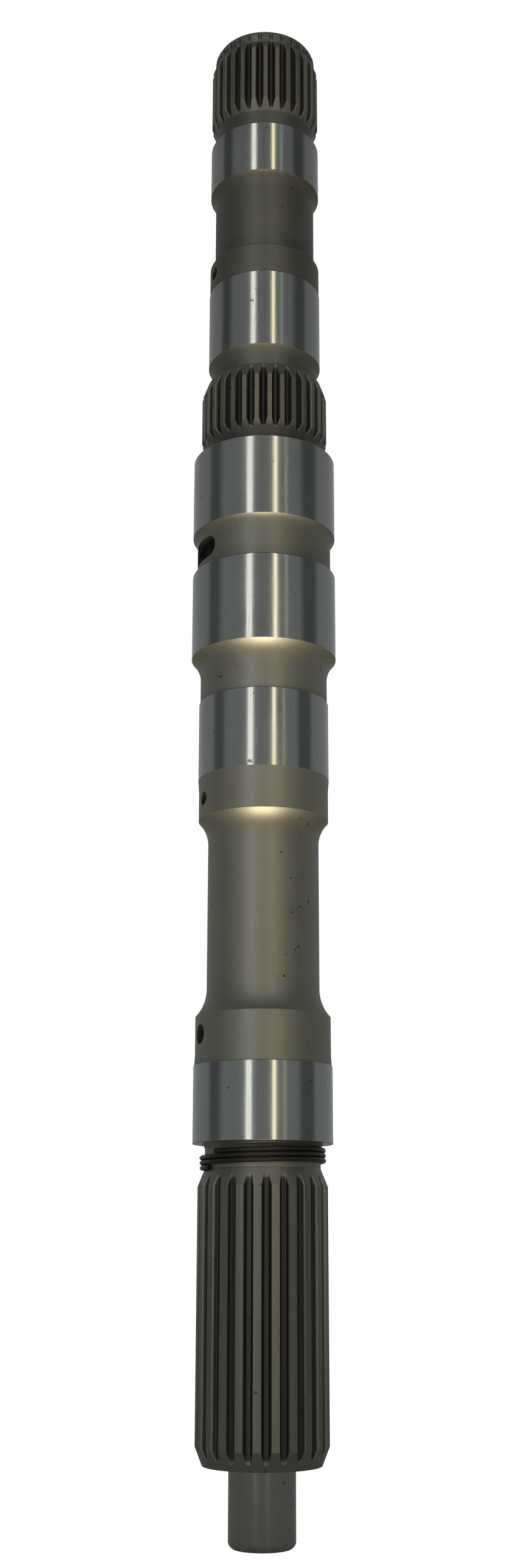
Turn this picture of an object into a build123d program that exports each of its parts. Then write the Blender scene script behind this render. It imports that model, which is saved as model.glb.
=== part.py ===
"""Gearbox main shaft with three involute splines, and the wire ring wound in its neck.

The shaft is one forging, turned, splined, drilled and ground.  It stands on its pilot
with its axis on +Z, and every radius and height below is in millimetres.  Heights are
added up from the pilot's end face, so each length can be changed by itself.
"""
import os
from dataclasses import dataclass
from math import acos, cos, pi, radians, sin, tan

from build123d import *

os.makedirs("parts", exist_ok=True)

# ---------------------------------------------------------------- driving dimensions
# Pilot, the ground spigot that the shaft stands on
pilot_diameter = 28.0
pilot_length = 31.7
pilot_chamfer_length = 2.0
pilot_chamfer_depth = 1.5

# Neck that holds the wire ring, between the long spline and the bearing seat
ring_neck_diameter = 50.0
ring_neck_length = 10.5
ring_neck_sweep = 2.9            # height of the curve that runs up into the bearing seat
ring_neck_rise = 1.3             # how far that curve lifts off the neck

# Bearing seat, ground, and the turned collar above it
bearing_seat_diameter = 61.0
bearing_seat_length = 33.2
bearing_collar_diameter = 59.7
bearing_collar_length = 21.5
bearing_collar_flare = 4.3       # length over which the collar opens to meet the seat

# Plain shank between the two collars
shank_diameter = 50.0
shank_length = 88.7
shank_lower_sweep = 12.5         # heights of the curves at the shank's two ends
shank_upper_sweep = 11.0

# Oil collar above the shank, and the cone that joins it to gear journal 1
oil_collar_diameter = 58.85
oil_collar_length = 13.6
oil_collar_cone_length = 5.5

# Ground journals for the loose gears, numbered from below, with the turned necks
# between them
journal_1_diameter = 59.7
journal_1_length = 36.6
neck_1_diameter = 58.6
neck_1_length = 21.8
neck_1_sweep = 10.3
journal_2_diameter = 67.1
journal_2_length = 41.05
neck_2_diameter = 62.8
neck_2_length = 19.65
neck_2_sweep = 5.9
journal_3_diameter = 67.1
journal_3_length = 39.0
hub_relief_diameter = 51.2       # run-out groove under the hub spline
hub_relief_length = 3.3
neck_4_diameter = 51.0
neck_4_length = 10.7
neck_4_sweep = 5.0
journal_4_diameter = 54.25
journal_4_length = 38.8
slim_collar_diameter = 53.75
slim_collar_length = 15.7
slim_neck_diameter = 48.9
slim_neck_length = 40.8
slim_neck_sweep = 6.4
journal_5_diameter = 53.9
journal_5_length = 27.05
end_relief_diameter = 48.8       # run-out groove under the end spline
end_relief_length = 8.55
step_chamfer = 0.4               # edge break on the ground journals
collar_chamfer = 0.9             # edge break on the slim collar and journal 5

# Retaining ring groove and tooth tips at the top end
tip_land_diameter = 50.4
tip_land_length = 2.6
ring_groove_diameter = 49.6
ring_groove_width = 1.55
end_chamfer_length = 2.2
end_chamfer_depth = 1.3

# Oil supply: a gallery from the top end, and radial holes in one line
gallery_diameter = 10.0
gallery_floor = 190.0            # height at which the gallery stops
gallery_mouth_diameter = 16.0
oil_line_angle = -156.7          # direction of the radial holes about the axis
small_oil_hole = 6.0
large_oil_hole = 8.2
pocket_oil_hole = 9.0
slim_collar_hole_height = 8.7    # heights of the holes above the foot of each collar
oil_collar_hole_height = 8.4
bearing_collar_hole_height = 12.9
pocket_height = 9.35
pocket_length = 22.0
pocket_width = 10.2
pocket_depth = 5.2
center_hole_diameter = 4.0
center_hole_mouth = 10.0
center_hole_depth = 9.0
center_angle = 60.0

# Wire ring: a left-hand coil of round spring wire that lies loose in its neck
wire_diameter = 2.0
wire_facets = 8                  # flats on the wire's outline, which is drawn as a polygon
wire_chords_per_turn = 36        # straight steps that stand for each turn of the coil
wire_clearance = 0.3             # between the wire and the neck, on the radius
coil_pitch = 2.15
coil_turns = 2.96
coil_end_angle = -153.1          # where the lower end of the wire points
coil_tilt = 2.25                 # how far the loose coil leans in its neck
coil_drop = 6.08                 # middle of the coil below the bearing seat


@dataclass(frozen=True)
class InvoluteSpline:
    """External spline with straight, parallel teeth and involute flanks."""

    teeth: int
    pitch_diameter: float
    tip_diameter: float
    root_diameter: float
    first_tooth_angle: float
    length: float                # end to end, with both lead-in cones
    lower_cone: float            # lead-in angle from the axis at the lower end
    upper_cone: float
    lower_end_diameter: float    # diameter at which each cone stops
    upper_end_diameter: float
    pressure_angle: float = 30.0

    def tooth_half_angle(self, radius: float) -> float:
        """Half the angle that a tooth takes up at a radius, in radians."""
        base = self.pitch_diameter / 2 * cos(radians(self.pressure_angle))
        slope = acos(min(1.0, base / radius))
        at_pitch = radians(self.pressure_angle)
        widening = (tan(at_pitch) - at_pitch) - (tan(slope) - slope)
        return pi / (2 * self.teeth) + widening

    def flank(self, side: int, reach: float) -> list[tuple[float, float]]:
        """Points up one flank of the space beside the X axis, from root to beyond the tip."""
        space_half_angle = pi / self.teeth
        root = self.root_diameter / 2
        points = []
        for share in (0.0, 0.5, 1.0):
            radius = root + share * (self.tip_diameter / 2 + reach - root)
            angle = side * (space_half_angle - self.tooth_half_angle(radius))
            points.append((radius * cos(angle), radius * sin(angle)))
        return points

    def cone_height(self, cone_angle: float, end_diameter: float) -> float:
        """Height of a lead-in cone from its end up to the tooth tips."""
        return (self.tip_diameter - end_diameter) / 2 / tan(radians(cone_angle))


long_spline = InvoluteSpline(
    teeth=23, pitch_diameter=55.2, tip_diameter=56.1, root_diameter=52.2,
    first_tooth_angle=-94.4, length=119.3, lower_cone=22.0, upper_cone=22.0,
    lower_end_diameter=50.0, upper_end_diameter=ring_neck_diameter)
hub_spline = InvoluteSpline(
    teeth=31, pitch_diameter=58.4, tip_diameter=60.1, root_diameter=55.6,
    first_tooth_angle=-85.15, length=37.0, lower_cone=30.0, upper_cone=20.0,
    lower_end_diameter=hub_relief_diameter, upper_end_diameter=55.0)
end_spline = InvoluteSpline(
    teeth=28, pitch_diameter=51.9, tip_diameter=53.6, root_diameter=49.2,
    first_tooth_angle=-89.3, length=39.65, lower_cone=22.0, upper_cone=22.0,
    lower_end_diameter=end_relief_diameter, upper_end_diameter=tip_land_diameter)

# ---------------------------------------------------------------- heights, from below
long_spline_start = pilot_length
ring_neck_start = long_spline_start + long_spline.length
bearing_seat_start = ring_neck_start + ring_neck_length
bearing_collar_start = bearing_seat_start + bearing_seat_length
shank_start = bearing_collar_start + bearing_collar_length
oil_collar_start = shank_start + shank_length
oil_cone_start = oil_collar_start + oil_collar_length
journal_1_start = oil_cone_start + oil_collar_cone_length
neck_1_start = journal_1_start + journal_1_length
journal_2_start = neck_1_start + neck_1_length
neck_2_start = journal_2_start + journal_2_length
journal_3_start = neck_2_start + neck_2_length
hub_relief_start = journal_3_start + journal_3_length
hub_spline_start = hub_relief_start + hub_relief_length
neck_4_start = hub_spline_start + hub_spline.length
journal_4_start = neck_4_start + neck_4_length
slim_collar_start = journal_4_start + journal_4_length
slim_neck_start = slim_collar_start + slim_collar_length
journal_5_start = slim_neck_start + slim_neck_length
end_relief_start = journal_5_start + journal_5_length
end_spline_start = end_relief_start + end_relief_length
ring_groove_start = end_spline_start + end_spline.length
tip_land_start = ring_groove_start + ring_groove_width
shaft_length = tip_land_start + tip_land_length + end_chamfer_length

oil_hole_heights = {
    "slim_collar": slim_collar_start + slim_collar_hole_height,
    "pocket": neck_2_start + pocket_height,
    "oil_collar": oil_collar_start + oil_collar_hole_height,
    "bearing_collar": bearing_collar_start + bearing_collar_hole_height,
}


def seat_outline(start: float, length: float, diameter: float) -> list[tuple[float, float]]:
    """Corners of a ground seat with both of its edges broken."""
    radius = diameter / 2
    return [
        (radius - step_chamfer, start),
        (radius, start + step_chamfer),
        (radius, start + length - step_chamfer),
        (radius - step_chamfer, start + length),
    ]


def spline_outline(spline: InvoluteSpline, start: float) -> list[tuple[float, float]]:
    """Corners of a spline's blank, with the lead-in cone at each end."""
    tip = spline.tip_diameter / 2
    end = start + spline.length
    lower = spline.cone_height(spline.lower_cone, spline.lower_end_diameter)
    upper = spline.cone_height(spline.upper_cone, spline.upper_end_diameter)
    return [
        (spline.lower_end_diameter / 2, start),
        (tip, start + lower),
        (tip, end - upper),
        (spline.upper_end_diameter / 2, end),
    ]


def sweep_up(neck_diameter: float, top: float, height: float, edge_radius: float) -> Edge:
    """Arc that leaves a neck along the axis and runs up and out to a shoulder's edge."""
    start = (neck_diameter / 2, top - height)
    return TangentArc(start, (edge_radius, top), tangent=(0, 1))


def sweep_down(neck_diameter: float, bottom: float, height: float, edge_radius: float) -> Edge:
    """Arc that leaves a neck along the axis and runs down and out to a shoulder's edge."""
    start = (neck_diameter / 2, bottom + height)
    return TangentArc(start, (edge_radius, bottom), tangent=(0, -1))


# ---------------------------------------------------------------- the shaft
with BuildPart() as main_shaft:
    # Half section, turned about the axis
    with BuildSketch(Plane.XZ) as half_section:
        with BuildLine() as outline:
            # pilot, long spline and the foot of the ring neck
            lower_run = Polyline(
                (0, 0),
                (pilot_diameter / 2 - pilot_chamfer_depth, 0),
                (pilot_diameter / 2, pilot_chamfer_length),
                (pilot_diameter / 2, pilot_length),
                *spline_outline(long_spline, long_spline_start),
                (ring_neck_diameter / 2, bearing_seat_start - ring_neck_sweep),
            )
            ring_neck_curve = sweep_up(
                ring_neck_diameter, bearing_seat_start, ring_neck_sweep,
                ring_neck_diameter / 2 + ring_neck_rise)
            # bearing seat and its collar
            seat_run = Polyline(
                ring_neck_curve @ 1,
                *seat_outline(bearing_seat_start, bearing_seat_length, bearing_seat_diameter),
                (bearing_collar_diameter / 2, bearing_collar_start + bearing_collar_flare),
                (bearing_collar_diameter / 2, shank_start),
            )
            # shank with a large curve at each end
            lower_shank_curve = sweep_down(
                shank_diameter, shank_start, shank_lower_sweep, bearing_collar_diameter / 2)
            shank_line = Line(
                lower_shank_curve @ 0,
                (shank_diameter / 2, oil_collar_start - shank_upper_sweep))
            upper_shank_curve = sweep_up(
                shank_diameter, oil_collar_start, shank_upper_sweep, oil_collar_diameter / 2)
            # oil collar, journal 1 and the neck over it
            journal_1_run = Polyline(
                upper_shank_curve @ 1,
                (oil_collar_diameter / 2, oil_cone_start),
                (journal_1_diameter / 2, journal_1_start),
                (journal_1_diameter / 2, neck_1_start - step_chamfer),
                (neck_1_diameter / 2, neck_1_start),
                (neck_1_diameter / 2, journal_2_start - neck_1_sweep),
            )
            neck_1_curve = sweep_up(
                neck_1_diameter, journal_2_start, neck_1_sweep, journal_2_diameter / 2)
            journal_2_run = Polyline(
                neck_1_curve @ 1,
                (journal_2_diameter / 2, neck_2_start - step_chamfer),
                (journal_2_diameter / 2 - step_chamfer, neck_2_start),
                (neck_2_diameter / 2, neck_2_start),
                (neck_2_diameter / 2, journal_3_start - neck_2_sweep),
            )
            neck_2_curve = sweep_up(
                neck_2_diameter, journal_3_start, neck_2_sweep, journal_3_diameter / 2)
            # journal 3, hub spline and the neck over it
            hub_run = Polyline(
                neck_2_curve @ 1,
                (journal_3_diameter / 2, hub_relief_start - step_chamfer),
                (journal_3_diameter / 2 - step_chamfer, hub_relief_start),
                (hub_relief_diameter / 2, hub_relief_start),
                *spline_outline(hub_spline, hub_spline_start),
                (neck_4_diameter / 2, neck_4_start),
                (neck_4_diameter / 2, journal_4_start - neck_4_sweep),
            )
            neck_4_curve = sweep_up(
                neck_4_diameter, journal_4_start, neck_4_sweep, journal_4_diameter / 2)
            # journal 4, slim collar and slim neck
            slim_run = Polyline(
                neck_4_curve @ 1,
                (journal_4_diameter / 2, slim_collar_start),
                (slim_collar_diameter / 2, slim_collar_start),
                (slim_collar_diameter / 2, slim_neck_start - collar_chamfer),
                (slim_collar_diameter / 2 - collar_chamfer, slim_neck_start),
                (slim_neck_diameter / 2, slim_neck_start),
                (slim_neck_diameter / 2, journal_5_start - slim_neck_sweep),
            )
            slim_neck_curve = sweep_up(
                slim_neck_diameter, journal_5_start, slim_neck_sweep, journal_5_diameter / 2)
            # journal 5, end spline, retaining ring groove and tooth tips
            top_run = Polyline(
                slim_neck_curve @ 1,
                (journal_5_diameter / 2, end_relief_start - collar_chamfer),
                (journal_5_diameter / 2 - collar_chamfer, end_relief_start),
                (end_relief_diameter / 2, end_relief_start),
                *spline_outline(end_spline, end_spline_start),
                (ring_groove_diameter / 2, ring_groove_start),
                (ring_groove_diameter / 2, tip_land_start),
                (tip_land_diameter / 2, tip_land_start),
                (tip_land_diameter / 2, tip_land_start + tip_land_length),
                (tip_land_diameter / 2 - end_chamfer_depth, shaft_length),
                (0, shaft_length),
                (0, 0),
            )
        make_face()
    revolve(axis=Axis.Z)

    # Spaces between the teeth: one sketch of all the spaces, cut from end to end
    for spline, start, run_out in (
        (long_spline, long_spline_start, ring_neck_length / 20),
        (hub_spline, hub_spline_start, neck_4_length / 20),
        (end_spline, end_spline_start, shaft_length - ring_groove_start + 1.0),
    ):
        first_space_angle = spline.first_tooth_angle + 180 / spline.teeth
        with BuildSketch(Plane.XY.offset(start)) as spaces:
            with PolarLocations(0, spline.teeth, start_angle=first_space_angle):
                with BuildLine(mode=Mode.PRIVATE) as space_edge:
                    right_flank = ThreePointArc(*spline.flank(-1, reach=1.0))
                    left_flank = ThreePointArc(*spline.flank(+1, reach=1.0))
                    root_arc = ThreePointArc(
                        right_flank @ 0, (spline.root_diameter / 2, 0), left_flank @ 0)
                    Line(right_flank @ 1, left_flank @ 1)
                add(make_face(space_edge.edges(), mode=Mode.PRIVATE))
        extrude(amount=spline.length + run_out, mode=Mode.SUBTRACT)

    # Oil gallery from the top end, with a centre for the lathe at both ends
    with Locations(Plane.XY.offset(shaft_length)):
        CounterSinkHole(
            gallery_diameter / 2, gallery_mouth_diameter / 2,
            depth=shaft_length - gallery_floor, counter_sink_angle=center_angle)
    with Locations(Plane.XY.rotated((180, 0, 0))):
        CounterSinkHole(
            center_hole_diameter / 2, center_hole_mouth / 2,
            depth=center_hole_depth, counter_sink_angle=center_angle)

    # Locking pocket across the neck over journal 2
    oil_line = Vector(1, 0, 0).rotate(Axis.Z, oil_line_angle)
    pocket_floor = Plane(
        origin=oil_line * (neck_2_diameter / 2 - pocket_depth)
        + Vector(0, 0, oil_hole_heights["pocket"]),
        x_dir=oil_line.cross(Vector(0, 0, 1)), z_dir=oil_line)
    with BuildSketch(pocket_floor):
        SlotOverall(pocket_length, pocket_width)
    extrude(amount=2 * pocket_depth, mode=Mode.SUBTRACT)

    # Radial oil holes, each from its own surface into the gallery
    for place, diameter, surface_diameter in (
        ("slim_collar", small_oil_hole, slim_collar_diameter),
        ("pocket", pocket_oil_hole, neck_2_diameter - 2 * pocket_depth),
        ("oil_collar", small_oil_hole, oil_collar_diameter),
        ("bearing_collar", large_oil_hole, bearing_collar_diameter),
    ):
        mouth = Plane(
            origin=oil_line * (surface_diameter / 2) + Vector(0, 0, oil_hole_heights[place]),
            z_dir=oil_line)
        with Locations(mouth):
            Hole(diameter / 2, depth=surface_diameter / 2)
main_shaft.part.label = "main_shaft"
export_step(main_shaft.part, "parts/main_shaft.step")

# ---------------------------------------------------------------- the wire ring
coil_radius = ring_neck_diameter / 2 + wire_clearance + wire_diameter / 2
lean = radians(coil_tilt)
leaning_axis = Vector(-sin(lean), 0, cos(lean))
uphill = Vector(cos(lean), 0, sin(lean))
coil_length = coil_pitch * coil_turns
coil_plane = Plane(
    origin=Vector(0, 0, bearing_seat_start - coil_drop) - leaning_axis * (coil_length / 2),
    x_dir=uphill.rotate(Axis((0, 0, 0), leaning_axis), coil_end_angle),
    z_dir=leaning_axis)

with BuildPart() as wire_ring:
    # The coil's line is a helix in short chords, laid into the leaning plane
    with BuildLine(coil_plane) as coil:
        chord_count = round(coil_turns * wire_chords_per_turn)
        chord_angle = -2 * pi * coil_turns / chord_count
        chord_rise = coil_length / chord_count
        Polyline(*(
            (coil_radius * cos(step * chord_angle),
             coil_radius * sin(step * chord_angle),
             step * chord_rise)
            for step in range(chord_count + 1)))
    with BuildSketch(Plane(origin=coil.line @ 0, z_dir=coil.line % 0)):
        RegularPolygon(wire_diameter / 2, wire_facets)
    sweep(path=coil.line, transition=Transition.RIGHT)
wire_ring.part.label = "wire_ring"
export_step(wire_ring.part, "parts/wire_ring.step")

for piece in (main_shaft.part, wire_ring.part):
    box = piece.bounding_box()
    print(piece.label, "volume", round(piece.volume), "from", box.min, "to", box.max)
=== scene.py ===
"""Looks of a gearbox main shaft: turned necks, ground journals, three splines and a wire ring.

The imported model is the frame. Every surface here is a closed shape worked out on a grid of
two parameters, in metres, about the shaft's axis on +Z with the pilot's end face at zero.
Angles about the axis start at the front, on -Y, and grow towards +X.
"""

import logging
from dataclasses import dataclass, field
from enum import Enum
from math import asin, cos, pi, radians, sin, tan

import bpy
import numpy as np
from mathutils import Matrix

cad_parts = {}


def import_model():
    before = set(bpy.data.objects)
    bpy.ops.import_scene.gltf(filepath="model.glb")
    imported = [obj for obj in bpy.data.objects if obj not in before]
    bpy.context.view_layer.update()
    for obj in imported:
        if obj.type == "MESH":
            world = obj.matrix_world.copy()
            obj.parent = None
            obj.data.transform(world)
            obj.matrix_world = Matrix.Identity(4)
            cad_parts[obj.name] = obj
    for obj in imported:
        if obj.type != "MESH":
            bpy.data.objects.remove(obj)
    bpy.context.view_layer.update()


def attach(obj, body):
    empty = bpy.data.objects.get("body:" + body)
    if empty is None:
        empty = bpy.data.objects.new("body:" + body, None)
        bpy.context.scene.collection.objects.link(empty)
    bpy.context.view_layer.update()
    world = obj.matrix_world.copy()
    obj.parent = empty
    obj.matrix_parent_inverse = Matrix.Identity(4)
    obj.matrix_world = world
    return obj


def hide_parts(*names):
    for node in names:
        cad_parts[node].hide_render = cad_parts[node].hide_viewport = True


log = logging.getLogger("main_shaft")

MM = 0.001
BODY = "root"
SHAFT_NODE = "main_shaft"
RING_NODE = "wire_ring"
LATHE_COLUMNS = 288
RING_SCALE = 2600.0
STREAK_SCALE = 700.0
STREAK_STRETCH = 0.04
CLOUD_SCALE = 38.0
SPECK_SCALE = 330.0
SPECK_LIMITS = (0.755, 0.785)
SPECK_COLOUR = (0.012, 0.012, 0.011, 1.0)

Point = tuple[float, float]


class Finish(Enum):
    """Surface finishes that the pieces of the shaft can have."""

    GROUND = "ground_steel"
    TURNED = "turned_steel"
    TOOTHED = "toothed_steel"
    WIRE = "ring_wire"
    # Near-black walls of the drillings and the pocket: painted shade.
    SHADED_BORE = "bore_painted_shade"


# ------------------------------------------------------------------------ shader helpers


class Socket:
    """An output socket with the arithmetic operators of a number."""

    def __init__(self, nodes: "NodeBuilder", output: bpy.types.NodeSocket) -> None:
        """Keeps the node builder and the socket that it made."""
        self.nodes = nodes
        self.output = output

    def _math(self, operation: str, first: object, second: object) -> "Socket":
        """Adds one Math node on two values or sockets."""
        return self.nodes.add(
            "ShaderNodeMath", {"operation": operation}, {0: first, 1: second})

    def __add__(self, other: object) -> "Socket":
        """Sum."""
        return self._math("ADD", self, other)

    def __radd__(self, other: object) -> "Socket":
        """Sum with the number first."""
        return self._math("ADD", other, self)

    def __sub__(self, other: object) -> "Socket":
        """Difference."""
        return self._math("SUBTRACT", self, other)

    def __rsub__(self, other: object) -> "Socket":
        """Difference with the number first."""
        return self._math("SUBTRACT", other, self)

    def __mul__(self, other: object) -> "Socket":
        """Product."""
        return self._math("MULTIPLY", self, other)

    def __rmul__(self, other: object) -> "Socket":
        """Product with the number first."""
        return self._math("MULTIPLY", other, self)


class NodeBuilder:
    """Adds nodes to one node tree and links them."""

    def __init__(self, tree: bpy.types.NodeTree) -> None:
        """Empties the tree and keeps it."""
        tree.nodes.clear()
        self.tree = tree

    def add(self, kind: str, settings: dict | None = None,
            values: dict | None = None, output: int | str = 0) -> Socket:
        """Adds a node of any type.

        Args:
            kind: Blender's name of the node type.
            settings: properties set first; a "stops" entry sets a colour ramp's stops.
            values: values, or sockets to link, by the input's name or number.
            output: which output to return.

        Returns:
            The chosen output socket.
        """
        node = self.tree.nodes.new(kind)
        for name, value in (settings or {}).items():
            if name == "stops":
                self._set_stops(node.color_ramp, value)
            else:
                setattr(node, name, value)
        for name, value in (values or {}).items():
            if isinstance(value, Socket):
                self.tree.links.new(value.output, node.inputs[name])
            else:
                node.inputs[name].default_value = value
        return Socket(self, node.outputs[output]) if node.outputs else Socket(self, None)

    @staticmethod
    def _set_stops(ramp: bpy.types.ColorRamp, stops: list[tuple[float, tuple]]) -> None:
        """Gives a colour ramp its stops, from left to right."""
        while len(ramp.elements) < len(stops):
            ramp.elements.new(1.0)
        for element, (place, colour) in zip(ramp.elements, stops):
            element.position = place
            element.color = colour

    def smooth(self, value: Socket, start: float, end: float,
               low: float = 0.0, high: float = 1.0) -> Socket:
        """Soft step of a value between two limits."""
        return self.add(
            "ShaderNodeMapRange", {"interpolation_type": "SMOOTHSTEP"},
            {"Value": value, "From Min": start, "From Max": end, "To Min": low, "To Max": high})

    def noise(self, vector: Socket, scale: float, detail: float = 2.0,
              roughness: float = 0.5) -> Socket:
        """Noise value around one half on a vector."""
        return self.add(
            "ShaderNodeTexNoise", {},
            {"Vector": vector, "Scale": scale, "Detail": detail, "Roughness": roughness})

    def stretched(self, vector: Socket, scale: tuple[float, float, float]) -> Socket:
        """A vector with each of its parts multiplied."""
        return self.add(
            "ShaderNodeVectorMath", {"operation": "MULTIPLY"}, {0: vector, 1: scale})

    def blend(self, factor: object, first: object, second: object) -> Socket:
        """Mix of two colours."""
        return self.add(
            "ShaderNodeMix", {"data_type": "RGBA"},
            {0: factor, 6: first, 7: second}, output=2)

    def parts(self, vector: Socket) -> tuple[Socket, Socket, Socket]:
        """The three parts of a vector."""
        node = self.add("ShaderNodeSeparateXYZ", {}, {0: vector}).output.node
        return tuple(Socket(self, node.outputs[i]) for i in range(3))


# ----------------------------------------------------------------------------- finishes


@dataclass(frozen=True)
class SteelFinish:
    """Bare or coated steel whose colour and gloss change over the surface.

    Colours are linear. The tone is a factor on the colour that changes along the shaft, by
    height in metres, from tone_low below to tone_high above; turned and toothed steel grow darker
    towards the top.
    """

    name: str
    colour: tuple[float, float, float, float]
    dark_colour: tuple[float, float, float, float]
    metallic: float
    roughness: float
    roughness_spread: float
    grain_scale: float
    grain_depth: float
    streak_share: float
    speck_share: float
    # Share by which the colour darkens deep between the teeth: painted shade in the tooth spaces.
    painted_groove_shade: float = 0.0
    tone_low: float = 1.0
    tone_high: float = 1.0
    tone_start: float = 0.3
    tone_end: float = 0.62

    def make(self) -> bpy.types.Material:
        """Builds the material.

        Returns:
            A material on Object coordinates with colour, roughness and bump from noise.
        """
        material = bpy.data.materials.new(self.name)
        material.use_nodes = True
        nodes = NodeBuilder(material.node_tree)
        place = nodes.add("ShaderNodeTexCoord", output="Object")
        height = nodes.parts(place)[2]
        lathe_rings = nodes.noise(nodes.stretched(place, (0.0, 0.0, 1.0)), RING_SCALE, 3.0)
        axial_streaks = nodes.noise(
            nodes.stretched(place, (1.0, 1.0, STREAK_STRETCH)), STREAK_SCALE, 3.0)
        grain = nodes.noise(place, self.grain_scale, 3.0, 0.65)
        clouds = nodes.noise(place, CLOUD_SCALE, 4.0, 0.6)
        specks = nodes.smooth(nodes.noise(place, SPECK_SCALE, 1.0), *SPECK_LIMITS)
        tone = nodes.smooth(height, self.tone_start, self.tone_end, self.tone_low, self.tone_high)
        shade = (tone * (0.80 + 0.40 * clouds)
                 * (1.0 - self.streak_share / 2 + self.streak_share * axial_streaks)
                 * (0.88 + 0.24 * grain))
        # Painted shade: darker colour the deeper the surface lies between the teeth.
        if self.painted_groove_shade:
            depth = nodes.add("ShaderNodeAttribute", {"attribute_name": "tooth_depth"},
                              output="Fac")
            shade = shade * (1.0 - self.painted_groove_shade * nodes.smooth(depth, 0.03, 0.45))
        colour = nodes.blend(shade, self.dark_colour, self.colour)
        colour = nodes.blend(specks * self.speck_share, colour, SPECK_COLOUR)
        roughness = (self.roughness + self.roughness_spread * (clouds - 0.5)
                     + 0.5 * self.roughness_spread * (axial_streaks - 0.5) + 0.12 * specks)
        bump = nodes.add(
            "ShaderNodeBump", {}, {"Strength": 0.35, "Distance": self.grain_depth,
                                   "Height": grain * 0.75 + lathe_rings * 0.25})
        shader = nodes.add(
            "ShaderNodeBsdfPrincipled", {},
            {"Base Color": colour, "Metallic": self.metallic, "Roughness": roughness,
             "Normal": bump})
        nodes.add("ShaderNodeOutputMaterial", {}, {"Surface": shader})
        return material


FINISHES = {
    Finish.GROUND: SteelFinish(
        name="ground_steel", colour=(0.255, 0.268, 0.255, 1.0), dark_colour=(0.03, 0.035, 0.04, 1.0),
        metallic=1.0, roughness=0.17, roughness_spread=0.08, grain_scale=2400.0,
        grain_depth=0.000004, streak_share=0.16, speck_share=0.5),
    Finish.TURNED: SteelFinish(
        name="turned_steel", colour=(0.176, 0.184, 0.160, 1.0),
        dark_colour=(0.012, 0.012, 0.010, 1.0), metallic=0.85, roughness=0.47,
        roughness_spread=0.10, grain_scale=2100.0, grain_depth=0.00004, streak_share=0.05,
        speck_share=0.8, tone_low=1.0, tone_high=0.46),
    Finish.TOOTHED: SteelFinish(
        name="toothed_steel", colour=(0.150, 0.153, 0.136, 1.0),
        dark_colour=(0.010, 0.010, 0.009, 1.0), metallic=0.85, roughness=0.42,
        roughness_spread=0.12, grain_scale=1900.0, grain_depth=0.00003, streak_share=0.30,
        # Strong darkening between the teeth, as painted shade in the tooth spaces.
        speck_share=0.5, painted_groove_shade=0.88, tone_low=1.75, tone_high=0.72,
        tone_start=0.16, tone_end=0.50),
    Finish.WIRE: SteelFinish(
        name="ring_wire", colour=(0.024, 0.020, 0.017, 1.0), dark_colour=(0.004, 0.004, 0.004, 1.0),
        metallic=0.6, roughness=0.38, roughness_spread=0.12, grain_scale=2600.0,
        grain_depth=0.00001, streak_share=0.1, speck_share=0.3),
    # Near-black colour on the walls of the drillings and the pocket, painted shade inside them.
    Finish.SHADED_BORE: SteelFinish(
        name="bore_painted_shade", colour=(0.018, 0.018, 0.016, 1.0), dark_colour=(0.003, 0.003, 0.003, 1.0),
        metallic=0.3, roughness=0.7, roughness_spread=0.05, grain_scale=1500.0,
        grain_depth=0.00001, streak_share=0.0, speck_share=0.0),
}


# ------------------------------------------------------------------------- mesh helpers


def grid_faces(rows: int, columns: int) -> np.ndarray:
    """Quads of a grid that closes on itself along its columns.

    Args:
        rows: rings of vertices.
        columns: vertices in each ring.

    Returns:
        One row of four vertex numbers for each face, turned outwards.
    """
    row, column = np.meshgrid(np.arange(rows - 1), np.arange(columns), indexing="ij")
    following = (column + 1) % columns
    corners = (row * columns + column, row * columns + following,
               (row + 1) * columns + following, (row + 1) * columns + column)
    return np.stack(corners, axis=-1).reshape(-1, 4)


def closed_rings(name: str, rings: np.ndarray, low_pole: np.ndarray,
                 high_pole: np.ndarray) -> bpy.types.Object:
    """Skin over a stack of rings, closed by a fan of triangles at each end.

    Args:
        name: the piece's name.
        rings: points, rings by columns by three, counter-clockwise from above.
        low_pole: the point that closes the first ring.
        high_pole: the point that closes the last ring.

    Returns:
        The new object, linked to the scene.
    """
    rows, columns = rings.shape[:2]
    points = np.concatenate([rings.reshape(-1, 3), low_pole[None], high_pole[None]])
    quads = grid_faces(rows, columns)
    first = np.arange(columns)
    following = (first + 1) % columns
    low, high = rows * columns, rows * columns + 1
    top_row = (rows - 1) * columns
    low_fan = np.stack([following, first, np.full(columns, low)], axis=-1)
    high_fan = np.stack([top_row + first, top_row + following, np.full(columns, high)], axis=-1)
    mesh = bpy.data.meshes.new(name)
    mesh.from_pydata(points.tolist(), [], quads.tolist() + low_fan.tolist() + high_fan.tolist())
    mesh.update()
    piece = bpy.data.objects.new(name, mesh)
    bpy.context.scene.collection.objects.link(piece)
    return piece


def dress(piece: bpy.types.Object, finish: Finish, materials: dict, node: str,
          sharp_angle: float) -> bpy.types.Object:
    """Gives a piece its material and smooth shading, and ties it to the frame.

    Args:
        piece: the finished mesh.
        finish: which finish it takes.
        materials: the materials by finish.
        node: the CAD node that it stands for.
        sharp_angle: edges that turn by more than this, in degrees, stay sharp.

    Returns:
        The same piece.
    """
    if not piece.data.materials:
        piece.data.materials.append(materials[finish])
    piece.data.shade_smooth()
    piece.data.set_sharp_from_angle(angle=radians(sharp_angle))
    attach(piece, BODY)
    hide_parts(node)
    triangles = sum(len(face.vertices) - 2 for face in piece.data.polygons)
    log.info("%s: %d triangles", piece.name, triangles)
    return piece


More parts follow.
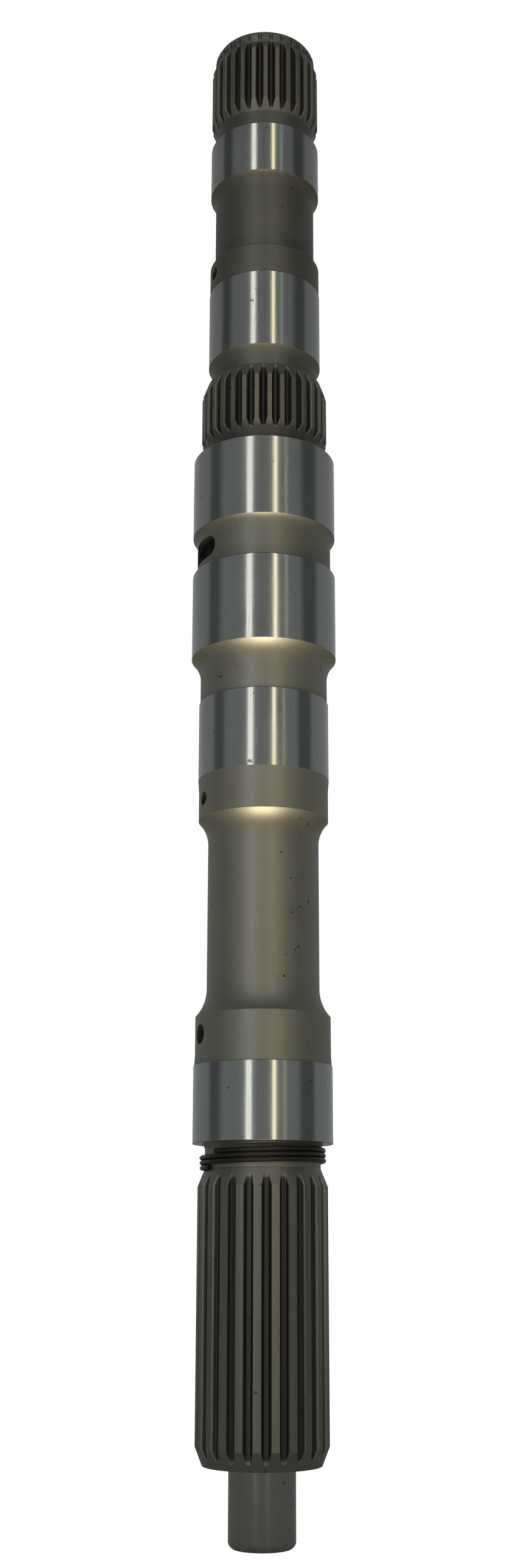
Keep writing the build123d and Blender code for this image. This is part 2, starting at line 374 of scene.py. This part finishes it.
def rounded_outline(corners: list[Point], edge: float, steps: int = 4) -> list[Point]:
    """An outline whose sharp corners are rounded.

    Each corner is replaced by a quadratic curve: the two points at the edge distance along
    its sides are joined by (1-u)^2 times the first, 2u(1-u) times the corner and u^2 times
    the second. One more point just outside each end keeps the flat beside it flat.

    Args:
        corners: radius and height of each corner, in millimetres, from below.
        edge: length of the rounding along each side.
        steps: straight pieces in each rounding.

    Returns:
        The new outline's points.
    """
    points = np.array(corners, float)
    before, here, after = points[:-2], points[1:-1], points[2:]
    back, ahead = before - here, after - here
    back_length = np.linalg.norm(back, axis=1, keepdims=True)
    ahead_length = np.linalg.norm(ahead, axis=1, keepdims=True)
    turn = np.abs(back[:, :1] * ahead[:, 1:] - back[:, 1:] * ahead[:, :1])
    bend = np.degrees(np.arcsin(np.clip(turn / (back_length * ahead_length), 0.0, 1.0)))
    reach = np.minimum(edge, 0.4 * np.minimum(back_length, ahead_length))
    reach = np.where(bend > 9.0, reach, 0.0)
    start = here + back / back_length * reach
    end = here + ahead / ahead_length * reach
    share = np.linspace(0.0, 1.0, steps + 1)[None, :, None]
    curve = ((1 - share) ** 2 * start[:, None] + 2 * share * (1 - share) * here[:, None]
             + share ** 2 * end[:, None])
    guard_back = here + back / back_length * reach * 1.25
    guard_ahead = here + ahead / ahead_length * reach * 1.25
    full = np.concatenate([guard_back[:, None], curve, guard_ahead[:, None]], axis=1).reshape(-1, 2)
    full = np.concatenate([points[:1], full, points[-1:]])
    step = np.linalg.norm(np.diff(full, axis=0), axis=1)
    return full[np.concatenate([[True], step > 1e-6])].tolist()


def sweep_up(neck: float, top: float, height: float, edge: float, steps: int = 14) -> list[Point]:
    """Arc from a neck up and out to a shoulder's edge.

    A circle that touches the neck at the sweep's foot has the radius (h^2 + d^2) / 2d, with h
    the sweep's height and d the rise from neck to edge.

    Args:
        neck: radius of the neck.
        top: height of the shoulder's edge.
        height: height of the sweep.
        edge: radius at the shoulder's edge.
        steps: straight pieces in the arc.

    Returns:
        The arc's points from below.
    """
    rise = edge - neck
    radius = (height ** 2 + rise ** 2) / (2 * rise)
    turn = np.linspace(0.0, asin(height / radius), steps + 1)
    outline = np.stack([neck + radius * (1 - np.cos(turn)), top - height + radius * np.sin(turn)], 1)
    return outline.tolist()


def sweep_down(neck: float, bottom: float, height: float, edge: float) -> list[Point]:
    """Arc from a shoulder's upper edge in and up to a neck, as sweep_up turned over."""
    mirrored = np.array(sweep_up(neck, 0.0, height, edge))[::-1]
    mirrored[:, 1] = bottom - mirrored[:, 1]
    return mirrored.tolist()


# ------------------------------------------------------------------------ turned pieces


@dataclass(frozen=True)
class Drilling:
    """A radial oil hole, or a pocket with round ends, cut into a turned piece."""

    name: str
    height: float
    diameter: float
    surface_radius: float
    depth: float
    length: float = 0.0
    angle: float = radians(-66.7)

    def cutter(self) -> bpy.types.Object:
        """Makes the cutting body.

        It is a stack of obround rings along the drilling's own axis, with a small flare at
        the mouth: each ring is a circle of the hole's radius whose halves are moved apart by
        the pocket's length less its width.

        Returns:
            A closed object at the drilling's place.
        """
        radius = self.diameter / 2
        flare = 0.35
        outer = self.surface_radius + 2.0
        distances = np.array([self.surface_radius - self.depth, self.surface_radius - flare - 0.1,
                              outer])
        widths = np.array([radius, radius, radius + 2.0 * flare])
        turn = np.linspace(0.0, 2 * pi, 96, endpoint=False)
        spread = max(0.0, self.length - self.diameter) / 2 * np.sign(np.cos(turn))
        across = widths[:, None] * np.cos(turn) + spread
        upward = widths[:, None] * np.sin(turn) + self.height
        outward = np.array([sin(self.angle), -cos(self.angle)])
        sideways = np.array([cos(self.angle), sin(self.angle)])
        rings = np.stack([
            distances[:, None] * outward[0] + across * sideways[0],
            distances[:, None] * outward[1] + across * sideways[1],
            upward], axis=-1) * MM
        poles = [np.array([d * outward[0], d * outward[1], self.height]) * MM
                 for d in (distances[0], distances[-1])]
        return closed_rings(self.name, rings, poles[0], poles[1])


@dataclass(frozen=True)
class TurnedPiece:
    """A stretch of the shaft with a plain turned or ground surface."""

    name: str
    outline: list[Point]
    finish: Finish
    edge: float = 0.22
    drillings: tuple[Drilling, ...] = ()

    def build(self, materials: dict) -> bpy.types.Object:
        """Turns the outline about the axis, cuts the drillings and dresses the piece.

        A surface point lies at (r sin a, -r cos a, z) for the outline's radius r and height
        z and every angle a about the axis.

        Args:
            materials: the materials by finish.

        Returns:
            The finished piece.
        """
        outline = np.array(rounded_outline(self.outline, self.edge)) * MM
        turn = np.linspace(0.0, 2 * pi, LATHE_COLUMNS, endpoint=False)[None, :]
        radius, height = outline[:, :1], outline[:, 1:]
        rings = np.stack([radius * np.sin(turn), -radius * np.cos(turn),
                          height + 0.0 * turn], axis=-1)
        poles = [np.array([0.0, 0.0, outline[i, 1]]) for i in (0, -1)]
        piece = closed_rings(self.name, rings, poles[0], poles[1])
        piece.data.materials.append(materials[self.finish])
        for drilling in self.drillings:
            self.cut(piece, drilling, materials[Finish.SHADED_BORE])
        return dress(piece, self.finish, materials, SHAFT_NODE, 38.0)

    @staticmethod
    def cut(piece: bpy.types.Object, drilling: Drilling, wall: bpy.types.Material) -> None:
        """Takes a drilling out of the piece and gives its wall a near-black finish of its own,
        painted shade inside the hole.
        """
        cutter = drilling.cutter()
        cutter.data.materials.append(wall)
        modifier = piece.modifiers.new(drilling.name, "BOOLEAN")
        modifier.operation = "DIFFERENCE"
        modifier.solver = "EXACT"
        modifier.material_mode = "TRANSFER"
        modifier.object = cutter
        depsgraph = bpy.context.evaluated_depsgraph_get()
        cut_mesh = bpy.data.meshes.new_from_object(piece.evaluated_get(depsgraph))
        piece.modifiers.clear()
        piece.data = cut_mesh
        bpy.data.objects.remove(cutter)


# ------------------------------------------------------------------------------ splines


@dataclass(frozen=True)
class SplinePiece:
    """A stretch of the shaft with involute teeth, as a height field about the axis.

    The surface's radius is the smaller of two: the turned blank's, which depends on height,
    and the tooth form's, which depends on the angle about the axis.
    """

    name: str
    teeth: int
    pitch_radius: float
    tip_radius: float
    root_radius: float
    first_tooth: float
    blank: list[Point]
    fine_stretches: tuple[Point, ...]
    pressure_angle: float = 30.0
    fine_step: float = 0.16
    root_blend: float = 0.22

    def half_angle(self, radius: np.ndarray) -> np.ndarray:
        """Half the angle that a tooth takes up, by the involute function tan(p) - p."""
        slope = np.arccos(np.clip(self.pitch_radius * cos(radians(self.pressure_angle)) / radius,
                                  -1.0, 1.0))
        pressure = radians(self.pressure_angle)
        return pi / (2 * self.teeth) + (tan(pressure) - pressure) - (np.tan(slope) - slope)

    def tooth_form(self) -> tuple[np.ndarray, np.ndarray]:
        """Angles and radii of the outline of one tooth and half a space on either side.

        Returns:
            Two arrays, from the middle of one space to the middle of the next.
        """
        beyond_tip = self.tip_radius + 0.4
        radii = np.concatenate([
            [self.root_radius, self.root_radius],
            np.linspace(self.root_radius, self.root_radius + self.root_blend, 3)[1:],
            np.linspace(self.root_radius + 0.6, beyond_tip, 5)])
        angles = self.half_angle(radii)
        space = pi / self.teeth
        foot = angles[1]
        angles[0] = space
        angles[1] = foot + self.root_blend / self.root_radius
        angles[2] = foot + 0.35 * self.root_blend / self.root_radius
        order = np.concatenate([-angles, [0.0], angles[::-1]])
        form = np.concatenate([radii, [beyond_tip], radii[::-1]])
        return order, form

    def columns(self) -> tuple[np.ndarray, np.ndarray]:
        """Angles about the axis for the whole ring, with the tooth form's radius at each."""
        angles, radii = self.tooth_form()
        tip_angle = float(self.half_angle(np.array([self.tip_radius]))[0])
        extra = np.concatenate([np.linspace(-tip_angle, tip_angle, 5),
                                np.linspace(tip_angle, pi / self.teeth, 4)[1:-1],
                                -np.linspace(tip_angle, pi / self.teeth, 4)[1:-1]])
        one = np.unique(np.round(np.concatenate([angles, extra]), 9))[:-1]
        form = np.interp(one, angles, radii)
        centres = np.radians(self.first_tooth) + 2 * pi / self.teeth * np.arange(self.teeth)
        return (centres[:, None] + one[None, :]).ravel(), np.tile(form, self.teeth)

    def rows(self) -> tuple[np.ndarray, np.ndarray]:
        """Heights and blank radii of the rings, close together where cones cut the teeth."""
        blank = np.array(rounded_outline(self.blank, 0.18, 3))
        heights = [blank[:, 1]]
        for low, high in self.fine_stretches:
            heights.append(np.arange(low, high, self.fine_step))
        along = np.unique(np.round(np.concatenate(heights), 5))
        along = along[(along >= blank[0, 1]) & (along <= blank[-1, 1])]
        return along, np.interp(along, blank[:, 1], blank[:, 0])

    def build(self, materials: dict) -> bpy.types.Object:
        """Builds the toothed stretch and dresses it.

        The share of the tooth depth that the surface lies under the blank is kept as a
        vertex value, and the finish darkens the spaces between the teeth by it: painted shade
        in the spaces.

        Args:
            materials: the materials by finish.

        Returns:
            The finished piece.
        """
        angle, form = self.columns()
        height, blank = self.rows()
        radius = np.minimum(blank[:, None], form[None, :]) * MM
        rings = np.stack([radius * np.sin(angle), -radius * np.cos(angle),
                          height[:, None] * MM + 0.0 * angle], axis=-1)
        poles = [np.array([0.0, 0.0, height[i] * MM]) for i in (0, -1)]
        piece = closed_rings(self.name, rings, poles[0], poles[1])
        depth = (blank[:, None] - radius / MM) / (self.tip_radius - self.root_radius)
        values = np.concatenate([depth.ravel(), [0.0, 0.0]])
        piece.data.attributes.new("tooth_depth", "FLOAT", "POINT").data.foreach_set("value", values)
        return dress(piece, Finish.TOOTHED, materials, SHAFT_NODE, 24.0)


# ------------------------------------------------------------------------ the main shaft


@dataclass(frozen=True)
class Levels:
    """Heights where the shaft's stretches begin, above the pilot's end, in millimetres."""

    long_spline: float = 31.7
    ring_neck: float = 151.05
    bearing_seat: float = 161.5
    bearing_collar: float = 194.7
    shank: float = 216.2
    oil_collar: float = 304.9
    oil_cone: float = 318.5
    journal_1: float = 324.0
    neck_1: float = 360.6
    journal_2: float = 382.4
    neck_2: float = 423.45
    journal_3: float = 443.1
    hub_relief: float = 482.1
    hub_spline: float = 485.4
    neck_4: float = 522.4
    journal_4: float = 533.1
    slim_collar: float = 571.9
    slim_neck: float = 587.6
    journal_5: float = 628.4
    end_relief: float = 655.45
    end_spline: float = 664.0
    tip_land: float = 705.2
    top: float = 710.0


@dataclass(frozen=True)
class Radii:
    """Radii of the shaft's plain stretches, in millimetres."""

    pilot: float = 14.0
    shank: float = 25.0
    ring_stop: float = 26.3
    bearing_seat: float = 30.5
    bearing_collar: float = 29.85
    oil_collar: float = 29.42
    journal_1: float = 29.83
    neck_1: float = 29.3
    journal_2_and_3: float = 33.55
    neck_2: float = 31.4
    hub_relief: float = 25.6
    neck_4: float = 25.5
    journal_4: float = 27.125
    slim_collar: float = 26.875
    slim_neck: float = 24.45
    journal_5: float = 26.95
    end_relief: float = 24.4
    end_face: float = 23.9


@dataclass
class MainShaft:
    """The shaft in its turned, ground and toothed stretches, from below."""

    levels: Levels = Levels()
    radii: Radii = Radii()
    pieces: list = field(default_factory=list)

    def turned(self, name: str, outline: list[Point], finish: Finish = Finish.TURNED,
               **extras: object) -> None:
        """Adds one turned or ground stretch.

        Args:
            name: the piece's name.
            outline: radius and height of each corner, from below.
            finish: turned or ground.
            extras: edge rounding and drillings.
        """
        self.pieces.append(TurnedPiece(name, outline, finish, **extras))

    def journal(self, name: str, radius: float, bottom: float, top: float,
                break_height: float = 0.4, break_depth: float = 0.4) -> None:
        """Adds a ground band whose upper edge is broken by a small cone."""
        self.turned(name, [(radius, bottom), (radius, top - break_height),
                           (radius - break_depth, top)], Finish.GROUND)

    def neck(self, name: str, radius: float, bottom: float, top: float, sweep: float,
             shoulder: float, **extras: object) -> None:
        """Adds a neck that sweeps up and out to the edge of the shoulder above it."""
        self.turned(name, [(radius, bottom)] + sweep_up(radius, top, sweep, shoulder), **extras)

    def lower_end(self) -> None:
        """Pilot, long spline and the neck that holds the wire ring."""
        z, r = self.levels, self.radii
        tip, cone_end, cone_start = 28.05, 39.25, 143.5
        self.turned("pilot", [
            (0.5, 2.6), (2.0, 0.0), (12.1, 0.0), (13.35, 1.0), (r.pilot, 2.2),
            (r.pilot, z.long_spline)], Finish.GROUND, edge=0.6)
        self.pieces.append(SplinePiece(
            name="long_spline", teeth=23, pitch_radius=27.6, tip_radius=tip, root_radius=26.1,
            first_tooth=-4.4,
            blank=[(r.shank, z.long_spline), (tip, cone_end), (tip, cone_start),
                   (r.shank, z.ring_neck)],
            fine_stretches=((z.long_spline, 39.6), (143.1, z.ring_neck))))
        self.neck("ring_neck", r.shank, z.ring_neck, z.bearing_seat, 2.9, r.ring_stop)

    def bearing_seat(self) -> None:
        """Ground bearing seat and the drilled collar above it."""
        z, r = self.levels, self.radii
        flare, flare_end, sweep = 30.2, 199.0, 12.5
        self.turned("bearing_seat", [
            (r.ring_stop, z.bearing_seat), (r.bearing_seat, z.bearing_seat),
            (r.bearing_seat, z.bearing_collar), (flare, 194.9)], Finish.GROUND)
        self.turned(
            "bearing_collar",
            [(flare, z.bearing_collar), (r.bearing_collar, flare_end), (r.bearing_collar, z.shank)]
            + sweep_down(r.shank, z.shank, sweep, r.bearing_collar)[1:],
            drillings=(Drilling("hole_bearing_collar", 207.6, 8.2, r.bearing_collar, 20.0),))
        self.neck("shank", r.shank, z.shank + sweep, z.oil_collar, 11.0, r.oil_collar)

    def oil_collar(self) -> None:
        """Drilled oil collar and the cone up to journal 1."""
        z, r = self.levels, self.radii
        self.turned(
            "oil_collar",
            [(r.oil_collar, z.oil_collar), (r.oil_collar, z.oil_cone), (r.journal_1, z.journal_1)],
            drillings=(Drilling("hole_oil_collar", 313.3, 6.0, r.oil_collar, 20.0),))

    def gear_journals(self) -> None:
        """Journals 1 to 3 with the necks between them."""
        z, r = self.levels, self.radii
        wide, pocket, pocket_floor = r.journal_2_and_3, 432.8, 26.2
        self.journal("journal_1", r.journal_1, z.journal_1, z.neck_1, 0.3, 0.53)
        self.neck("neck_1", r.neck_1, z.neck_1, z.journal_2, 10.3, wide)
        self.journal("journal_2", wide, z.journal_2, z.neck_2)
        self.neck(
            "neck_2", r.neck_2, z.neck_2, z.journal_3, 5.9, wide,
            drillings=(
                Drilling("lock_pocket", pocket, 10.2, r.neck_2, 5.2, length=22.0),
                Drilling("hole_pocket", pocket, 9.0, pocket_floor, 16.0)))
        self.journal("journal_3", wide, z.journal_3, z.hub_relief)

    def hub(self) -> None:
        """Relief, hub spline and the neck over it."""
        z, r = self.levels, self.radii
        tip, cone_end, cone_start, cone_foot = 30.05, 493.1, 515.5, 27.5
        self.turned("hub_relief", [(r.hub_relief, z.hub_relief), (r.hub_relief, z.hub_spline)])
        self.pieces.append(SplinePiece(
            name="hub_spline", teeth=31, pitch_radius=29.2, tip_radius=tip, root_radius=27.8,
            first_tooth=4.85,
            blank=[(r.hub_relief, z.hub_spline), (tip, cone_end), (tip, cone_start),
                   (cone_foot, z.neck_4)],
            fine_stretches=((488.9, 493.4), (515.2, z.neck_4))))
        self.neck("neck_4", r.neck_4, z.neck_4, z.journal_4, 5.0, r.journal_4)

    def slim_stretch(self) -> None:
        """Journal 4, slim collar and neck, and journal 5."""
        z, r = self.levels, self.radii
        self.turned("journal_4", [(r.journal_4, z.journal_4), (r.journal_4, z.slim_collar)],
                    Finish.GROUND)
        self.turned(
            "slim_collar",
            [(r.slim_collar, z.slim_collar), (r.slim_collar, 587.0), (26.1, z.slim_neck)],
            drillings=(Drilling("hole_slim_collar", 580.6, 6.0, r.slim_collar, 18.0),))
        self.neck("slim_neck", r.slim_neck, z.slim_neck, z.journal_5, 6.4, r.journal_5)
        self.journal("journal_5", r.journal_5, z.journal_5, z.end_relief, 0.55, 0.75)

    def upper_end(self) -> None:
        """Relief, end spline with its ring groove, and the end face."""
        z, r = self.levels, self.radii
        tip, groove, land = 26.8, 24.8, 25.2
        self.turned("end_relief", [(r.end_relief, z.end_relief), (r.end_relief, z.end_spline)])
        self.pieces.append(SplinePiece(
            name="end_spline", teeth=28, pitch_radius=25.95, tip_radius=tip, root_radius=24.6,
            first_tooth=0.7,
            blank=[(r.end_relief, z.end_spline), (tip, 669.9), (tip, 699.3), (land, 703.6),
                   (groove, 703.7), (groove, z.tip_land), (land, 705.3), (land, 707.8),
                   (r.end_face, z.top)],
            fine_stretches=((z.end_spline, 670.2), (699.0, 704.0), (705.0, z.top))))
        self.turned("shaft_end", [
            (r.end_face, 709.0), (r.end_face, z.top), (8.0, z.top), (5.0, 704.8)])

    def build(self, materials: dict) -> None:
        """Builds every stretch in order from below.

        Args:
            materials: the materials by finish.
        """
        for stretch in (self.lower_end, self.bearing_seat, self.oil_collar, self.gear_journals,
                        self.hub, self.slim_stretch, self.upper_end):
            stretch()
        for piece in self.pieces:
            piece.build(materials)


# -------------------------------------------------------------------------- the wire ring


@dataclass(frozen=True)
class WireRing:
    """Left-hand coil of round spring wire that leans in its neck, in millimetres."""

    wire_radius: float = 1.0
    coil_radius: float = 26.3
    pitch: float = 2.15
    turns: float = 2.96
    middle_height: float = 155.42
    lean: float = radians(2.25)
    lower_end: float = radians(-63.1)
    columns: int = 20
    rows_per_turn: int = 150

    def build(self, materials: dict) -> bpy.types.Object:
        """Carries the wire's round section along the leaning helix.

        The centre line is (R sin a, -R cos a, h) for an angle a that falls as the height h
        grows, tilted about the Y axis by the lean. At both ends the section shrinks as the
        square root of 1 - u^2 to close the wire with a dome.
        """
        rows = round(self.turns * self.rows_per_turn)
        dome_turn = np.linspace(0.0, pi / 2, 7)[:-1]
        dome = np.maximum(np.sin(dome_turn), 0.02)
        swell = np.concatenate([dome, np.ones(rows), dome[::-1]])
        wire_length = 2 * pi * self.turns * self.coil_radius
        reach = self.wire_radius * (1 - np.cos(dome_turn)) / wire_length
        before = reach - reach[-1] - (reach[-1] - reach[-2])
        share = np.concatenate([before, np.linspace(0.0, 1.0, rows), 1.0 - before[::-1]])
        angle = self.lower_end - 2 * pi * self.turns * share
        along = (share - 0.5) * self.pitch * self.turns
        outward = np.stack([np.sin(angle), -np.cos(angle), 0.0 * angle], axis=-1)
        upward = np.array([0.0, 0.0, 1.0])
        turn = np.linspace(0.0, 2 * pi, self.columns, endpoint=False)
        section = (np.cos(turn)[None, :, None] * outward[:, None, :]
                   + np.sin(turn)[None, :, None] * upward)
        centre = self.coil_radius * outward + along[:, None] * upward
        rings = centre[:, None, :] + self.wire_radius * swell[:, None, None] * section
        tilt = np.array([[cos(self.lean), 0.0, -sin(self.lean)], [0.0, 1.0, 0.0],
                         [sin(self.lean), 0.0, cos(self.lean)]])
        rings = (rings @ tilt.T + [0.0, 0.0, self.middle_height]) * MM
        poles = [rings[i].mean(axis=0) for i in (0, -1)]
        piece = closed_rings("wire_ring_coil", rings, poles[0], poles[1])
        return dress(piece, Finish.WIRE, materials, RING_NODE, 60.0)


# ------------------------------------------------------------------------------- studio


def add_area_lamp(name: str, energy: float, colour: tuple[float, float, float],
                  size: tuple[float, float], place: tuple[float, float, float],
                  turn: tuple[float, float, float], spread: float = pi) -> None:
    """Adds a rectangular lamp that shines along its own -Z.

    Args:
        name: the lamp's name.
        energy: power in watts.
        colour: linear colour.
        size: width and height in metres.
        place: the lamp's middle.
        turn: rotation about X, Y and Z in radians.
        spread: full angle of the cone that it lights.
    """
    lamp = bpy.data.lights.new(name, "AREA")
    lamp.shape = "RECTANGLE"
    lamp.size, lamp.size_y = size
    lamp.energy = energy
    lamp.color = colour
    lamp.spread = spread
    holder = bpy.data.objects.new(name, lamp)
    bpy.context.scene.collection.objects.link(holder)
    holder.location = place
    holder.rotation_euler = turn


@dataclass(frozen=True)
class StripLamp:
    """A long narrow upright lamp that shows as one streak along the ground journals."""

    name: str
    azimuth: float
    width: float
    power: float
    colour: tuple[float, float, float]
    distance: float = 1.1
    low: float = 0.0
    high: float = 1.75

    def build(self) -> None:
        """Adds the lamp, turned to the shaft's axis."""
        turn = radians(self.azimuth)
        middle = (self.low + self.high) / 2
        add_area_lamp(
            self.name, self.power, self.colour, size=(self.width, self.high - self.low),
            place=(self.distance * sin(turn), -self.distance * cos(turn), middle),
            turn=(pi / 2, 0.0, turn))


class Studio:
    """Floor, world, lamps and camera."""

    camera_distance = 0.75276
    camera_height = 0.11653
    camera_pitch = 15.353
    camera_roll = 0.114
    focal_length = 39.149
    sensor_height = 36.0

    def build(self) -> None:
        """Sets up the whole studio."""
        self.floor()
        self.world()
        self.lamps()
        self.camera()
        bpy.context.scene.view_settings.view_transform = "Standard"

    def floor(self) -> None:
        """Adds a wide pale floor under the shaft, white to the eye where it lies far away."""
        half = 6.0
        corners = [(-half, -half, 0.0), (half, -half, 0.0), (half, half, 0.0), (-half, half, 0.0)]
        mesh = bpy.data.meshes.new("floor")
        mesh.from_pydata(corners, [], [(0, 1, 2, 3)])
        floor = bpy.data.objects.new("floor", mesh)
        bpy.context.scene.collection.objects.link(floor)
        material = bpy.data.materials.new("floor_paint")
        material.use_nodes = True
        nodes = NodeBuilder(material.node_tree)
        matt = nodes.add("ShaderNodeBsdfDiffuse", {}, {"Color": (0.58, 0.58, 0.56, 1.0)})
        lit = nodes.add("ShaderNodeEmission", {}, {"Color": (1.0, 1.0, 1.0, 1.0), "Strength": 0.95})
        both = nodes.add("ShaderNodeAddShader", {}, {0: matt, 1: lit})
        white = nodes.add("ShaderNodeMixShader", {}, {0: self.seen(nodes), 1: matt, 2: both})
        nodes.add("ShaderNodeOutputMaterial", {}, {"Surface": white})
        mesh.materials.append(material)

    @staticmethod
    def seen(nodes: NodeBuilder) -> Socket:
        """One where a ray comes from the eye, straight or through glass."""
        path = nodes.add("ShaderNodeLightPath", {}, {}).output.node
        camera = Socket(nodes, path.outputs["Is Camera Ray"])
        through = Socket(nodes, path.outputs["Is Transmission Ray"])
        return nodes.add("ShaderNodeMath", {"operation": "MAXIMUM"}, {0: camera, 1: through})

    def world(self) -> None:
        """Pale surroundings with two dim upright fields at the sides, white to the eye."""
        world = bpy.data.worlds.new("studio")
        bpy.context.scene.world = world
        world.use_nodes = True
        nodes = NodeBuilder(world.node_tree)
        direction = nodes.add("ShaderNodeTexCoord", output="Generated")
        x, y, z = nodes.parts(direction)
        azimuth = nodes.add("ShaderNodeMath", {"operation": "ARCTAN2"}, {0: x, 1: y * -1.0})
        left = (nodes.smooth(azimuth, radians(-103.0), radians(-93.0))
                * (1.0 - nodes.smooth(azimuth, radians(-80.0), radians(-68.0))))
        right = (nodes.smooth(azimuth, radians(58.0), radians(68.0))
                 * (1.0 - nodes.smooth(azimuth, radians(88.0), radians(98.0))))
        level = ((0.41 - 0.13 * nodes.smooth(z, 0.25, 0.75)) * (1.0 - 0.6 * left)
                 * (1.0 - 0.6 * right))
        around = nodes.add("ShaderNodeBackground", {}, {"Color": (0.97, 1.0, 1.0, 1.0),
                                                        "Strength": level})
        white = nodes.add("ShaderNodeBackground", {}, {"Color": (1.0, 1.0, 1.0, 1.0),
                                                       "Strength": 1.0})
        surface = nodes.add("ShaderNodeMixShader", {}, {0: self.seen(nodes), 1: around, 2: white})
        nodes.add("ShaderNodeOutputWorld", {}, {"Surface": surface})

    def lamps(self) -> None:
        """Two pairs of strip lamps in front and a warm low lamp before the shaft's foot."""
        cool, warm = (1.0, 0.97, 0.90), (1.0, 0.86, 0.58)
        for lamp in (
            StripLamp("strip_left_outer", -25.2, 0.035, 1.5, cool),
            StripLamp("strip_left_inner", -20.4, 0.035, 1.5, cool),
            StripLamp("strip_right", 18.0, 0.085, 2.6, warm),
            StripLamp("strip_far_right", 35.5, 0.02, 0.25, cool),
        ):
            lamp.build()
        add_area_lamp(
            "low_warm", energy=2.0, colour=(1.0, 0.82, 0.56), size=(0.24, 0.24),
            place=(0.0, -0.24, 0.012), turn=(pi, 0.0, 0.0), spread=radians(84.0))

    def camera(self) -> None:
        """Adds the camera in front of the shaft, low down and looking up along it."""
        lens = bpy.data.cameras.new("camera")
        lens.sensor_fit = "VERTICAL"
        lens.sensor_height = self.sensor_height
        lens.lens = self.focal_length
        camera = bpy.data.objects.new("camera", lens)
        bpy.context.scene.collection.objects.link(camera)
        place = Matrix.Translation((0.0, -self.camera_distance, self.camera_height))
        pitch = Matrix.Rotation(radians(90.0 + self.camera_pitch), 4, "X")
        roll = Matrix.Rotation(radians(self.camera_roll), 4, "Z")
        camera.matrix_world = place @ pitch @ roll
        bpy.context.scene.camera = camera


def main() -> None:
    """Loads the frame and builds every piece."""
    logging.basicConfig(level=logging.INFO, format="%(name)s %(message)s")
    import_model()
    materials = {finish: steel.make() for finish, steel in FINISHES.items()}
    Studio().build()
    MainShaft().build(materials)
    WireRing().build(materials)
    bpy.context.view_layer.update()


if __name__ == "__main__":
    main()
